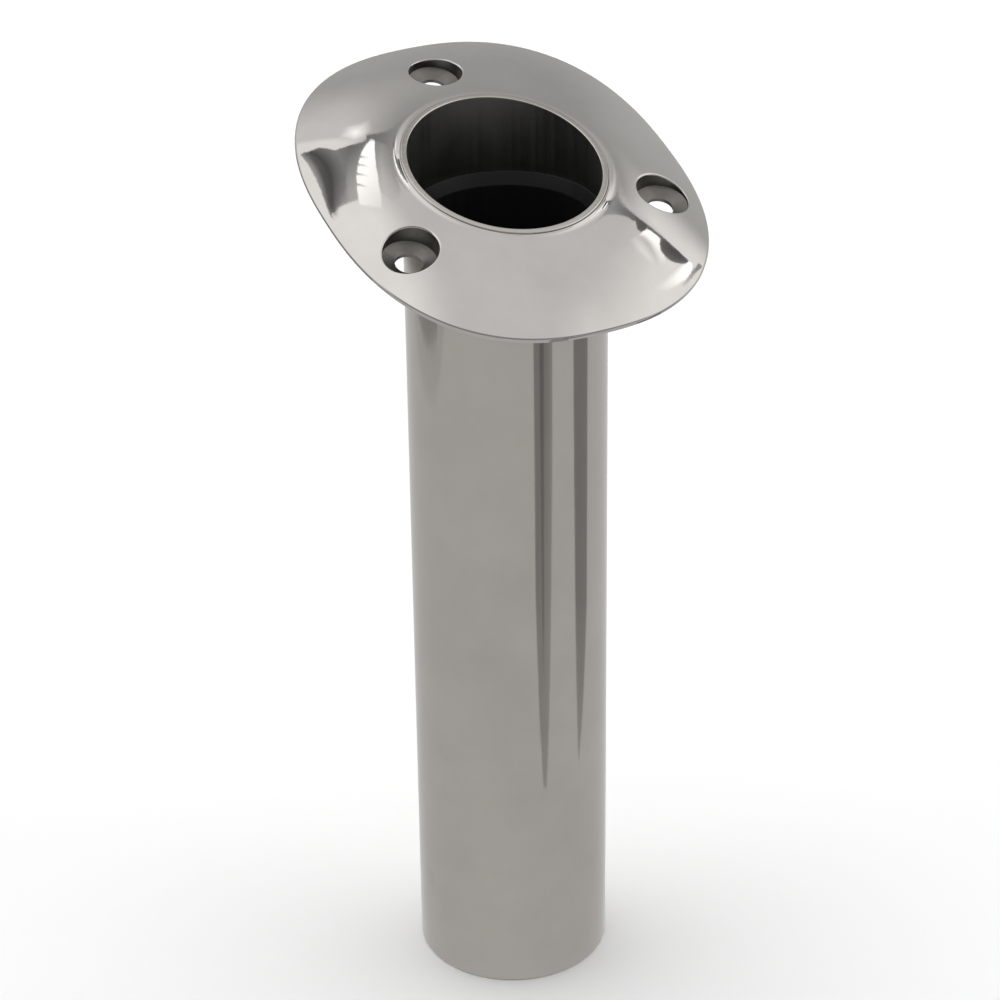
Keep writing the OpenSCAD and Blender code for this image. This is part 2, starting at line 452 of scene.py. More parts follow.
turns = [2 * math.pi * k / around for k in range(around)]
hole_turns = [2 * math.pi * k / 96 for k in range(96)]
screw_spots = [spot_at(math.pi + 2 * math.pi * k / screw_count, screw_ring, 0)[:2]
               for k in range(screw_count)]
patch_radius = head_radius + 1.6 * mm
skin_mesh = Skin()


def circle(centre, radius, height_at):
    """A closed row of points round a screw hole; height_at gives each point's height."""
    row = []
    for turn in hole_turns:
        x, y, _ = spot_at(turn, radius, 0)
        x, y = x + centre[0], y + centre[1]
        row.append((x, y, height_at(x, y)))
    return row


# The dome, from the lip's cove out to where the edge rounds over, with a gap for each hole
edge_loop = [spot_at(t, oval_radius(t, edge_inset), 0) for t in turns]
lip_loop = [spot_at(t, slanted_radius(t, tube_radius + 0.01 * mm), 0,
                    axis_y_on_deck(dome_height)) for t in turns]
patch_loops = [circle(c, patch_radius, dome) for c in screw_spots]
dome_spots = []
dome_rings = 40
for ring in range(1, dome_rings):
    share = (ring / dome_rings) ** 1.25
    for t in turns:
        low = slanted_radius(t, tube_radius + 0.01 * mm)
        x, y, _ = spot_at(t, low + (oval_radius(t, edge_inset) - low) * share, 0)
        y += axis_y_on_deck(dome_height) * (1 - share)
        if all(math.dist((x, y), c) > patch_radius + 0.25 * mm for c in screw_spots):
            dome_spots.append((x, y))
skin_mesh.sheet(dome, [edge_loop, lip_loop] + patch_loops, dome_spots, 1.0)

# Each screw hole: the dome runs into a polished round edge, a straight recess, a shallow
# seat for the head, and the clearance hole down to the deck
for centre in screw_spots:
    rows = []
    for k in range(5):
        radius = patch_radius + (head_radius + head_round - patch_radius) * k / 4
        rows.append(circle(centre, radius, dome))
    for k in range(1, 9):
        bend = math.pi / 2 * k / 8
        radius = head_radius + head_round * (1 - math.sin(bend))
        drop = head_round * (1 - math.cos(bend))
        rows.append(circle(centre, radius, lambda x, y: dome(x, y) - drop))
    top_row = rows[-1]
    skin_mesh.strip(rows)
    wall = [[(x, y, z + (seat_top - z) * k / 3) for x, y, z in top_row] for k in range(4)]
    skin_mesh.strip(wall, 2)
    seat = [circle(centre, head_radius + (screw_radius - head_radius) * k / 3,
                   lambda x, y: seat_top + (seat_foot - seat_top) * k / 3) for k in range(4)]
    skin_mesh.strip(seat, 2)
    shank = [circle(centre, screw_radius, lambda x, y: seat_foot * (1 - k / 2)) for k in range(3)]
    skin_mesh.strip(shank, 2)

# The edge: rolls from the dome's slope to upright, then a small break down to the deck
roll_steps = 8
edge_rows = [[] for _ in range(roll_steps + 2)]
for t in turns:
    fall = (dome_height - edge_height) * fullness / dome_width(t)
    start = math.pi / 2 - math.atan(fall)
    roll = edge_inset / (1 - math.cos(start))
    for k in range(roll_steps):
        bend = start * (1 - k / (roll_steps - 1))
        height = edge_height - roll * (math.sin(start) - math.sin(bend))
        edge_rows[k].append(spot_at(t, oval_radius(t, roll * (1 - math.cos(bend))), height))
    edge_rows[-2].append(spot_at(t, oval_radius(t), deck_break / 2))
    edge_rows[-1].append(spot_at(t, oval_radius(t, deck_break), 0))
skin_mesh.strip(edge_rows[:roll_steps][::-1])
skin_mesh.strip(edge_rows[roll_steps - 1:-1][::-1])
skin_mesh.strip(edge_rows[-2:][::-1])

# The bore through the collar, closed against the tube
bore_rows = []
for k in range(7):
    height = collar_foot + (dome_height - collar_foot) * k / 6
    centre = axis_y_on_deck(height)
    bore_rows.append([spot_at(t, slanted_radius(t, bore_radius), height, centre) for t in turns])
bore_top = [(x, y, dome(x, y)) for x, y, _ in lip_loop]
skin_mesh.strip([bore_top, bore_rows[-1]])
skin_mesh.strip(bore_rows[::-1])


def blend_low(a, b, width):
    """The lower of two heights, with their meeting rounded over this width."""
    share = min(max(0.5 + 0.5 * (b - a) / width, 0.0), 1.0)
    return b + (a - b) * share - width * share * (1 - share)


def back(x, y):
    """Height of the casting's hollow back: land, draughted walls, collar, bosses, ceiling."""
    turn, radius = turn_and_radius(x, y)
    clear = oval_radius(turn, land_width) - radius
    for c in screw_spots:
        clear = blend_low(clear, math.dist((x, y), c) - boss_radius, 1.5 * mm)
    if clear <= 0:
        return 0.0
    from_collar = math.hypot(x, (y - axis_y_on_deck(collar_foot)) * math.cos(lean)) \
        - tube_radius - collar_wall
    collar = collar_foot + max(from_collar, 0.0) * wall_draught
    ceiling = blend_low(dome(x, y) - skin, clear * wall_draught, 1.2 * mm)
    return max(blend_low(ceiling, collar, 0.8 * mm), 0.0)


# The back: evenly spread points, with closer rows along the foot of every wall
rim_loop = edge_rows[-1]
collar_loop = bore_rows[0]
shank_loops = [circle(c, screw_radius, lambda x, y: 0.0) for c in screw_spots]
close_rows = []
for gap in (0.0, 0.25 * mm, 0.5 * mm, 0.8 * mm, 1.15 * mm, 1.6 * mm):
    close_rows += [spot_at(t, oval_radius(t, land_width + gap), 0)[:2] for t in turns]
    close_rows += [spot_at(t, slanted_radius(t, tube_radius + collar_wall + gap), 0,
                           axis_y_on_deck(collar_foot))[:2] for t in turns]
    close_rows += [p[:2] for c in screw_spots
                   for p in circle(c, boss_radius + gap, lambda x, y: 0.0)]
pitch = 1.1 * mm
spread = []
for row in range(int(2 * half_length / pitch) + 1):
    for column in range(int(2 * half_width / pitch) + 1):
        shift = pitch / 2 if row % 2 else 0
        spread.append((column * pitch + shift - half_width, row * pitch - half_length))
near = 0.45 * mm
cells = {}
back_spots = []
for x, y in close_rows + spread:
    turn, radius = turn_and_radius(x, y)
    if radius > oval_radius(turn, deck_break + 0.6 * mm):
        continue
    from_axis = math.hypot(x, (y - axis_y_on_deck(collar_foot)) * math.cos(lean))
    if from_axis < bore_radius + 0.6 * mm:
        continue
    if any(math.dist((x, y), c) < screw_radius + 0.5 * mm for c in screw_spots):
        continue
    key = (round(x / near), round(y / near))
    around_key = [(key[0] + i, key[1] + j) for i in (-1, 0, 1) for j in (-1, 0, 1)]
    if any(math.dist((x, y), q) < near * 0.55 for k in around_key for q in cells.get(k, ())):
        continue
    cells.setdefault(key, []).append((x, y))
    back_spots.append((x, y))
skin_mesh.sheet(back, [rim_loop, collar_loop] + shank_loops, back_spots, -1.0, 1)

flange_steel = steel("flange_steel", (0.515, 0.499, 0.477), (0.02, 0.05), 55.0, (160, 160, 160))


def cast_back():
    """As-cast stainless: grey, dull, with a fine sandy grain and a little dark scale."""
    material = bpy.data.materials.new("cast_back")
    material.use_nodes = True
    tree = material.node_tree
    surface = tree.nodes["Principled BSDF"]
    surface.inputs["Metallic"].default_value = 1.0
    place = tree.nodes.new("ShaderNodeTexCoord").outputs["Object"]
    sand = tree.nodes.new("ShaderNodeTexNoise")
    feed(tree, sand, Vector=place, Scale=1400.0, Detail=3.0, Roughness=0.7)
    cloud = tree.nodes.new("ShaderNodeTexNoise")
    feed(tree, cloud, Vector=place, Scale=60.0, Detail=4.0)
    colour = tree.nodes.new("ShaderNodeValToRGB")
    colour.color_ramp.elements[0].color = (0.23, 0.222, 0.21, 1)
    colour.color_ramp.elements[1].color = (0.40, 0.39, 0.37, 1)
    tree.links.new(cloud.outputs["Fac"], colour.inputs["Fac"])
    tree.links.new(colour.outputs["Color"], surface.inputs["Base Color"])
    dull = tree.nodes.new("ShaderNodeMapRange")
    feed(tree, dull, Value=sand.outputs["Fac"], To_Min=0.42, To_Max=0.62)
    tree.links.new(dull.outputs[0], surface.inputs["Roughness"])
    bump = tree.nodes.new("ShaderNodeBump")
    feed(tree, bump, Strength=0.5, Distance=0.00012, Height=sand.outputs["Fac"])
    tree.links.new(bump.outputs["Normal"], surface.inputs["Normal"])
    return material


# Painted shade: the screw recesses' walls, seats and holes are tinted far darker than the polished top;
# their roughness is the machining
shaded_bored_steel = steel("shaded_bored_steel", (0.18, 0.172, 0.157), (0.30, 0.50), 260.0, (900, 900, 900))
flange = skin_mesh.build("flange_body", [flange_steel, cast_back(), shaded_bored_steel])
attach(flange, "root")
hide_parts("flange")

# ---------------------------------------------------------------------------------------
# Weld: one run of filler round the tube, in the corner under the collar. It was laid by
# hand in overlapping pools, which show as ripples, and is only brushed clean.
# ---------------------------------------------------------------------------------------
weld_leg = 2.5 * mm
weld_steel = steel("weld_metal", (0.42, 0.40, 0.375), (0.22, 0.38), 160.0, (500, 500, 500))


def weld_tree():
    """A bead swept round the seam, its skin raised into ripples that trail as chevrons."""
    tree, given, made = new_tree(
        "rippled_weld_bead",
        ("Rows", "NodeSocketInt"), ("Steps", "NodeSocketInt"), ("Tube Radius", "NodeSocketFloat"),
        ("Leg", "NodeSocketFloat"), ("Ripples", "NodeSocketFloat"), ("Rise", "NodeSocketFloat"),
        ("Lean", "NodeSocketFloat"), ("Lip Height", "NodeSocketFloat"),
        ("Collar Foot", "NodeSocketFloat"),
        ("Wander", "NodeSocketFloat"), ("Seed", "NodeSocketFloat"),
        ("Metal", "NodeSocketMaterial"))
    size = given.outputs
    grid = tree.nodes.new("GeometryNodeMeshGrid")
    feed(tree, grid, Size_X=1.0, Size_Y=1.0, Vertices_X=size["Steps"], Vertices_Y=size["Rows"])
    spot = tree.nodes.new("GeometryNodeInputPosition")
    apart = tree.nodes.new("ShaderNodeSeparateXYZ")
    tree.links.new(spot.outputs[0], apart.inputs[0])
    turn = maths(tree, "MULTIPLY", maths(tree, "ADD", apart.outputs["X"], 0.5), 2 * math.pi)
    across = maths(tree, "ADD", apart.outputs["Y"], 0.5)
    bend = maths(tree, "MULTIPLY", across, math.pi / 2)
    # Ripples: a soft saw along the seam, held back at both toes of the bead
    curl = maths(tree, "MULTIPLY", maths(tree, "SINE", maths(tree, "MULTIPLY", across, math.pi)), 0.55)
    phase = maths(tree, "SUBTRACT", maths(tree, "MULTIPLY", turn, size["Ripples"]),
                  maths(tree, "MULTIPLY", curl, 2 * math.pi))
    saw = maths(tree, "ADD", maths(tree, "SINE", phase),
                maths(tree, "MULTIPLY", maths(tree, "SINE", maths(tree, "MULTIPLY", phase, 2.0)), 0.35))
    middle = maths(tree, "SINE", maths(tree, "MULTIPLY", across, math.pi))
    ring_cos, ring_sin = maths(tree, "COSINE", turn), maths(tree, "SINE", turn)
    around_seam = tree.nodes.new("ShaderNodeCombineXYZ")
    feed(tree, around_seam, X=ring_cos, Y=ring_sin, Z=size["Seed"])
    hand = tree.nodes.new("ShaderNodeTexNoise")
    feed(tree, hand, Vector=around_seam.outputs[0], Scale=5.0, Detail=2.0)
    unsteady = maths(tree, "MULTIPLY", maths(tree, "SUBTRACT", hand.outputs[0], 0.5), size["Wander"])
    swell = maths(tree, "MULTIPLY", maths(tree, "MULTIPLY", saw, size["Rise"]), middle)
    leg = maths(tree, "ADD", maths(tree, "ADD", size["Leg"], unsteady), swell)
    drop = maths(tree, "MULTIPLY", maths(tree, "MULTIPLY", maths(tree, "SINE", bend), leg), -1.0)
    out = maths(tree, "MULTIPLY", maths(tree, "COSINE", bend), leg)
    level = maths(tree, "ADD", size["Collar Foot"], drop)
    # The slanted section of the tube at this level
    flat = maths(tree, "POWER", maths(tree, "MULTIPLY", ring_cos, maths(tree, "COSINE", size["Lean"])), 2.0)
    section = maths(tree, "DIVIDE", size["Tube Radius"],
                    maths(tree, "SQRT", maths(tree, "ADD", flat, maths(tree, "POWER", ring_sin, 2.0))))
    centre = maths(tree, "MULTIPLY", maths(tree, "SUBTRACT", level, size["Lip Height"]),
                   maths(tree, "TANGENT", size["Lean"]))
    radius = maths(tree, "ADD", section, out)
    place = tree.nodes.new("ShaderNodeCombineXYZ")
    feed(tree, place, X=maths(tree, "MULTIPLY", radius, ring_sin),
         Y=maths(tree, "SUBTRACT", centre, maths(tree, "MULTIPLY", radius, ring_cos)), Z=level)
    shape = tree.nodes.new("GeometryNodeSetPosition")
    feed(tree, shape, Geometry=grid.outputs["Mesh"], Position=place.outputs[0])
    stand = tree.nodes.new("GeometryNodeTransform")
    turned = tree.nodes.new("ShaderNodeCombineXYZ")
    tree.links.new(size["Lean"], turned.inputs["X"])
    feed(tree, stand, Geometry=shape.outputs[0], Rotation=turned.outputs[0])
    real = tree.nodes.new("GeometryNodeRealizeInstances")
    tree.links.new(stand.outputs[0], real.inputs[0])
    finish = tree.nodes.new("GeometryNodeSetMaterial")
    feed(tree, finish, Geometry=real.outputs[0], Material=size["Metal"])
    tree.links.new(finish.outputs[0], made.inputs["Mesh"])
    return tree


weld = run_tree("collar_weld", weld_tree(), {
    "Rows": 13, "Steps": 1441, "Tube Radius": tube_radius, "Leg": weld_leg, "Ripples": 104.0,
    "Rise": 0.09 * mm, "Lean": lean, "Lip Height": lip_height, "Collar Foot": collar_foot,
    "Wander": 0.35 * mm, "Seed": 3.0, "Metal": weld_steel})


def close_bead(piece):
    """Joins the bead's two ends and closes it against the tube and the collar."""
    shape = bmesh.new()
    shape.from_mesh(piece.data)
    bmesh.ops.remove_doubles(shape, verts=shape.verts, dist=1e-6)
    rims = [e for e in shape.edges if e.is_boundary]
    bmesh.ops.bridge_loops(shape, edges=rims)
    bmesh.ops.recalc_face_normals(shape, faces=shape.faces)
    for face in shape.faces:
        face.smooth = True
    shape.to_mesh(piece.data)
    shape.free()
    piece.data.set_sharp_from_angle(angle=math.radians(50))


close_bead(weld)
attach(weld, "root")
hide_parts("flange_weld")

# ---------------------------------------------------------------------------------------
# Sleeve: a length of black plastic pipe pushed into the tube, so that a rod's butt doesn't
# rub on steel. Its mouth is tapered to lead the butt in.
# ---------------------------------------------------------------------------------------
sleeve_low, sleeve_high = (Vector(c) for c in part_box("sleeve"))
sleeve_radius = (sleeve_high.x - sleeve_low.x) / 2
sleeve_bore = mounts["rod_bore"]["dims"]["r_mm"] * mm
taper_depth = 3.2 * mm
taper_edge = 0.8 * mm


def lathe(name, profile, centre_y, steps, material):
    """Turns a closed section, given as radius and height, about the tube's axis."""
    points, faces = [], []
    rows = len(profile)
    for j in range(steps):
        turn = 2 * math.pi * j / steps
        for radius, height in profile:
            points.append((radius * math.cos(turn), centre_y + radius * math.sin(turn), height))
    for j in range(steps):
        nxt = (j + 1) % steps
        for k in range(rows):
            up = (k + 1) % rows
            faces.append((j * rows + k, j * rows + up, nxt * rows + up, nxt * rows + k))
    mesh = bpy.data.meshes.new(name)
    mesh.from_pydata(points, [], faces)
    mesh.materials.append(material)
    piece = bpy.data.objects.new(name, mesh)
    bpy.context.collection.objects.link(piece)
    outward(piece)
    return piece


def black_plastic():
    """Black pipe plastic: satin, with fine rubbing marks along the way the butt slides."""
    material = bpy.data.materials.new("black_plastic")
    material.use_nodes = True
    tree = material.node_tree
    surface = tree.nodes["Principled BSDF"]
    place = tree.nodes.new("ShaderNodeTexCoord").outputs["Object"]
    rubbed = tree.nodes.new("ShaderNodeMapping")
    rubbed.inputs["Scale"].default_value = (700, 700, 9)
    tree.links.new(place, rubbed.inputs["Vector"])
    marks = tree.nodes.new("ShaderNodeTexNoise")
    feed(tree, marks, Vector=rubbed.outputs[0], Scale=1.0, Detail=5.0)
    colour = tree.nodes.new("ShaderNodeValToRGB")
    colour.color_ramp.elements[0].color = (0.006, 0.006, 0.006, 1)
    colour.color_ramp.elements[1].color = (0.016, 0.016, 0.017, 1)
    tree.links.new(marks.outputs["Fac"], colour.inputs["Fac"])
    tree.links.new(colour.outputs["Color"], surface.inputs["Base Color"])
    surface.inputs["Specular IOR Level"].default_value = 0.35
    dull = tree.nodes.new("ShaderNodeMapRange")
    feed(tree, dull, Value=marks.outputs["Fac"], To_Min=0.38, To_Max=0.56)
    tree.links.new(dull.outputs[0], surface.inputs["Roughness"])
    bump = tree.nodes.new("ShaderNodeBump")
    feed(tree, bump, Strength=0.15, Distance=0.0001, Height=marks.outputs["Fac"])
    tree.links.new(bump.outputs["Normal"], surface.inputs["Normal"])
    return material


nose = sleeve_radius - taper_edge
sleeve = lathe("rod_sleeve", [
    (sleeve_radius, sleeve_low.z + 0.3 * mm), (sleeve_radius, sleeve_high.z - 0.2 * mm),
    (sleeve_radius - 0.1 * mm, sleeve_high.z - 0.05 * mm),
    (sleeve_radius - 0.25 * mm, sleeve_high.z), (nose + 0.15 * mm, sleeve_high.z),
    (nose, sleeve_high.z - 0.1 * mm), (sleeve_bore + 0.1 * mm, sleeve_high.z - taper_depth + 0.2 * mm),
    (sleeve_bore, sleeve_high.z - taper_depth - 0.2 * mm), (sleeve_bore, sleeve_low.z + 0.2 * mm),
    (sleeve_bore + 0.2 * mm, sleeve_low.z), (sleeve_radius - 0.3 * mm, sleeve_low.z),
], axis_y, 192, black_plastic())
even_shading(sleeve)
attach(sleeve, "root")
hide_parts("sleeve")

# ---------------------------------------------------------------------------------------
# Cross pin: a piece of plain stainless bar through both walls near the foot, plug welded
# and ground flush. The slots of a rod's butt drop over it and stop the rod from turning.
# ---------------------------------------------------------------------------------------
pin_low, pin_high = (Vector(c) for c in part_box("cross_pin"))
pin_radius = (pin_high.z - pin_low.z) / 2
pin_z = (pin_high.z + pin_low.z) / 2
pin_steel = steel("pin_steel", (0.455, 0.442, 0.42), (0.05, 0.11), 38.0, (900, 900, 14))


def flush_bar(name, radius, height, material):
    """A round bar across the tube, its ends rounded to the tube's own curve."""
    steps, rings = 64, 5
    points, faces = [], []
    spans = [(-1, radius * k / rings) for k in range(rings + 1)]
    spans += [(1, radius * k / rings) for k in range(rings, -1, -1)]
    for side, reach in spans:
        for j in range(steps):
            turn = 2 * math.pi * j / steps
            y, z = reach * math.cos(turn), reach * math.sin(turn)
            points.append((side * math.sqrt(tube_radius ** 2 - y ** 2), axis_y + y, height + z))
    for k in range(len(spans) - 1):
        for j in range(steps):
            nxt = (j + 1) % steps
            faces.append((k * steps + j, k * steps + nxt,
                          (k + 1) * steps + nxt, (k + 1) * steps + j))
    mesh = bpy.data.meshes.new(name)
    mesh.from_pydata(points, [], faces)
    mesh.materials.append(material)
    piece = bpy.data.objects.new(name, mesh)
    bpy.context.collection.objects.link(piece)
    outward(piece)
    piece.data.polygons.foreach_set("use_smooth", [True] * len(piece.data.polygons))
    piece.data.set_sharp_from_angle(angle=math.radians(50))
    return piece


pin = flush_bar("butt_pin", pin_radius, pin_z, pin_steel)
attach(pin, "root")
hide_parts("cross_pin")

# ---------------------------------------------------------------------------------------
# Set: a plain pale floor under the foot, a soft studio sky, and the black and white cards
# that polished steel mirrors. Cards light nothing; only the steel's reflections find them.
# ---------------------------------------------------------------------------------------
view_turn = math.radians(-26.65)
view_swing = math.radians(-0.17)
view_right = Vector((math.cos(view_turn), math.sin(view_turn), 0))
view_ahead = Vector((-math.sin(view_turn), math.cos(view_turn), 0))
mouth = Vector((0, 0, mouth_z))
sky_reach = 14.0


def paper(name, level):
    """Matt white paper, for the floor."""
    material = bpy.data.materials.new(name)
    material.use_nodes = True
    surface = material.node_tree.nodes["Principled BSDF"]
    surface.inputs["Base Color"].default_value = (level, level, level, 1)
    surface.inputs["Roughness"].default_value = 0.9
    surface.inputs["Specular IOR Level"].default_value = 0.1
    return material


def card_face():
    """What every card shines with: its own level, which its mesh holds at each corner."""
    material = bpy.data.materials.new("card_face")
    material.use_nodes = True
    tree = material.node_tree
    tree.nodes.remove(tree.nodes["Principled BSDF"])
    lamp = tree.nodes.new("ShaderNodeEmission")
    level = tree.nodes.new("ShaderNodeAttribute")
    level.attribute_name = "level"
    tree.links.new(level.outputs["Fac"], lamp.inputs["Strength"])
    tree.links.new(lamp.outputs[0], tree.nodes["Material Output"].inputs["Surface"])
    return material


glow = card_face()


def panel(name, corners, faces, material):
    """A flat panel of the set."""
    mesh = bpy.data.meshes.new(name)
    mesh.from_pydata(corners, [], faces)
    mesh.materials.append(material)
    board = bpy.data.objects.new(name, mesh)
    bpy.context.collection.objects.link(board)
    return board


def mirrored_card(name, corners, levels, faces):
    """A card that only reflections find. Nought is a black flag, over one is a lamp's face."""
    board = panel(name, corners, faces, glow)
    held = board.data.attributes.new("level", "FLOAT", "POINT")
    held.data.foreach_set("value", levels)
    board.visible_camera = False
    board.visible_diffuse = False
    board.visible_shadow = False


def sky_card(name, spots, faces=None, nearer=0.0):
    """A card in the sky; a spot is its degrees right and ahead of straight up, and its level."""
    corners = []
    for right, ahead, _ in spots:
        tilt = math.radians(math.hypot(right, ahead))
        turn = math.atan2(right, ahead)
        flat = view_right * math.sin(turn) + view_ahead * math.cos(turn)
        way = flat * math.sin(tilt) + Vector((0, 0, math.cos(tilt)))
        corners.append(mouth + way * (sky_reach - nearer))
    mirrored_card(name, corners, [s[2] for s in spots], faces or [list(range(len(spots)))])


def bend(start, pull, end, share):
    """The spot this share of the way along an edge that bends towards a pulling spot."""
    return tuple(a * (1 - share) ** 2 + 2 * b * share * (1 - share) + c * share ** 2
                 for a, b, c in zip(start, pull, end))


def sky_ribbon(name, bends, nearer=0.0):
    """A card in the sky that runs between bent edges, each a start, a pull and an end."""
    count = 17
    edges = [[bend(*edge, k / (count - 1)) for k in range(count)] for edge in bends]
    faces = [(row * count + k, row * count + k + 1, (row + 1) * count + k + 1, (row + 1) * count + k)
             for row in range(len(edges) - 1) for k in range(count - 1)]
    sky_card(name, [spot for edge in edges for spot in edge], faces, nearer)


def floor_card(name, spots, lift=0.5):
    """A card on the floor; a spot is its metres right and ahead of the tube, and its level."""
    corners = [view_right * right + view_ahead * ahead + Vector((0, axis_y, foot_z + lift * mm))
               for right, ahead, _ in spots]
    mirrored_card(name, corners, [s[2] for s in spots], [list(range(len(spots)))])


room = 20.0
panel("floor", [(-room, -room, foot_z), (room, -room, foot_z), (room, room, foot_z),
                (-room, room, foot_z)], [(0, 1, 2, 3)], paper("floor_paper", 0.88))

# Left: a black flag whose folds catch some light, and a lamp with four glazing bars beside it
sky_ribbon("flag_left", [((-29, 32, 0.55), (-28, 24, 0.95), (-32, 14.5, 0.20)),
                         ((-27.5, 32.5, 0.25), (-24, 26, 0.14), (-31.5, 14.5, 0.18)),
                         ((-26.5, 32.5, 0.13), (-19, 27, 0.11), (-31, 15, 0.13)),
                         ((-22.5, 33.5, 0.30), (-18, 27.5, 0.13), (-30, 15, 0.26)),
                         ((-18, 32.5, 0.42), (-15.5, 25, 0.30), (-27, 16.5, 0.45)),
                         ((-11, 34.5, 0.26), (-16, 30, 0.32), (-22, 18, 0.75)),
                         ((-2, 36.5, 0.30), (-9.5, 34.5, 0.40), (-18.5, 19, 0.80))])
lamp_outer = ((-2, 36.3, 2.3), (-9.5, 34.5, 2.4), (-19.5, 18, 1.8))
lamp_inner = ((-1.5, 36, 1.9), (-1.5, 32, 1.95), (-11, 19, 1.4))
sky_ribbon("lamp_left", [lamp_outer, lamp_inner], 0.1)
bars, bar_half = 4, (0.16, 0.30)
for k in range(bars):
    root = bend(*lamp_outer, 0.46 + 0.125 * k)
    far = bend(*lamp_inner, 0.30 + 0.16 * k)
    tip = [a + (b - a) * 0.62 for a, b in zip(root, far)]
    sky_card(f"glazing_bar_{k}", [(root[0] + bar_half[0], root[1] + bar_half[1], 0.5),
                                  (tip[0], tip[1], 1.4),
                                  (root[0] - bar_half[0], root[1] - bar_half[1], 0.5)], nearer=0.3)
sky_ribbon("shade_lip", [((-2, 36.5, 0.42), (-1.5, 32, 0.65), (-8, 24, 0.95)),
                         ((3, 36.5, 0.40), (0, 33, 0.95), (-6, 24, 0.98)),
                         ((8.5, 36, 0.50), (5, 31, 0.80), (-4, 23.5, 0.96))])
sky_card("glow_left", [(-9, 37.5, 1.9), (-15, 36.5, 1.1), (-12, 40, 1.0), (-4, 40.5, 0.85),
                       (-2.5, 38, 0.76), (-5, 36.5, 0.9), (-10, 35.5, 1.2)],
         [(0, k, k % 6 + 1) for k in range(1, 7)])
sky_ribbon("edge_left", [((-5, 37, 0.28), (2, 37.5, 0.36), (9, 36.5, 0.5)),
                         ((-5, 36, 0.28), (2, 36, 0.36), (9, 35, 0.5))], 0.2)

# Right: a thin black edge across the sky, two black flags on it, and lamps beside them
sky_ribbon("edge_right", [((12.5, 36, 0.5), (22, 31.5, 0.1), (42, 29, 0.3)),
                          ((12.5, 34.5, 0.6), (22, 30, 0.1), (42, 28.5, 0.3))])
sky_card("flag_right_small", [(24, 32, 0.22), (28.5, 31, 0.16), (28.5, 29.5, 0.18),
                              (27.5, 28.5, 0.25), (26, 29, 0.22)], nearer=0.2)
sky_ribbon("lamp_right_inner", [((28, 29.5, 2.1), (34.5, 31.5, 2.5), (36.5, 22.5, 1.4)),
                                ((27.5, 28, 1.9), (32.5, 29, 2.2), (36, 21.5, 1.3)),
                                ((27, 27.5, 1.1), (31, 27, 0.75), (35, 20.5, 1.27)),
                                ((26, 27, 1.1), (29.5, 23.5, 1.65), (34.5, 20, 1.26)),
                                ((25, 26, 1.05), (28.5, 22, 1.12), (34, 19, 1.25))])
sky_ribbon("flag_right", [((33.5, 30, 0.24), (38, 29, 0.06), (42, 28.5, 0.20)),
                          ((33.5, 27.5, 0.24), (37.5, 27, 0.08), (41.5, 27, 0.24)),
                          ((34.5, 25.5, 0.30), (37.5, 23, 0.22), (40, 25.5, 0.30))], 0.2)
sky_ribbon("lamp_right_outer", [((43, 29, 2.5), (44.5, 24, 2.4), (38.5, 13, 1.39)),
                                ((42, 28.5, 2.4), (41, 21, 2.1), (37, 12.5, 1.38)),
                                ((41, 27.5, 1.1), (38.5, 22, 1.2), (36, 12, 1.37))], 0.1)
sky_ribbon("edge_far_right", [((44.5, 31.5, 0.5), (43.5, 27, 0.3), (42, 18.5, 1.1)),
                              ((45.5, 31.5, 0.5), (44.5, 27, 0.3), (42.5, 18.5, 1.3))], 0.3)

# Floor, as the steel sees it: a painted reflection of grey paper, darker to the right, two dark cards to
# the right that are painted floor shadows, and painted shade on the left
floor_card("floor_painted_reflection", [(-room, -room, 0.74), (room, -room, 0.62), (room, room, 0.62),
                              (-room, room, 0.74)], 0.2)
floor_card("painted_shadow_front_right", [(0.065, -0.095, 0.45), (0.11, -0.20, 0.32), (0.40, -0.72, 0.28),
                                (0.83, -0.60, 0.28), (0.16, -0.15, 0.32), (0.07, -0.09, 0.45)])
floor_card("painted_shadow_front_slot", [(0.10, -0.135, 0.25), (0.235, -0.325, 0.2), (0.60, -0.83, 0.18),
                               (0.66, -0.78, 0.18), (0.26, -0.305, 0.2)], 1.0)
floor_card("painted_shadow_right_floor", [(0.115, -0.02, 0.45), (0.21, -0.04, 0.30), (0.90, -0.18, 0.28),
                                (0.90, 0.20, 0.28), (0.375, 0.075, 0.30), (0.205, 0.03, 0.32),
                                (0.15, 0.0, 0.40)])
floor_card("shade_left", [(-0.33, 0.045, 0.72), (-0.365, -0.06, 0.60), (-0.40, -0.135, 0.60),
                          (-0.90, -0.40, 0.5), (-0.90, 0.60, 0.5), (-0.33, 0.225, 0.62)])
floor_card("shade_left_far", [(-0.40, -0.05, 0.4), (-0.90, -0.20, 0.3), (-0.90, 0.90, 0.3),
                              (-0.20, 0.62, 0.3), (-0.36, 0.26, 0.4)], 0.8)

world = bpy.data.worlds.new("studio")
bpy.context.scene.world = world
world.use_nodes = True
sky = world.node_tree


def ramp(value, low, high, start=0.0, end=1.0):
    """A smooth step of a value between two limits."""
    node = sky.nodes.new("ShaderNodeMapRange")
    node.interpolation_type = "SMOOTHSTEP"
    feed(sky, node, Value=value, From_Min=low, From_Max=high, To_Min=start, To_Max=end)
    return node.outputs["Result"]


way = sky.nodes.new("ShaderNodeSeparateXYZ")
sky.links.new(sky.nodes.new("ShaderNodeTexCoord").outputs["Generated"], way.inputs[0])
tilt = maths(sky, "ARCCOSINE", way.outputs["Z"])
flat = maths(sky, "MAXIMUM", maths(sky, "SINE", tilt), 0.001)
scale = maths(sky, "DIVIDE", maths(sky, "DEGREES", tilt), flat)


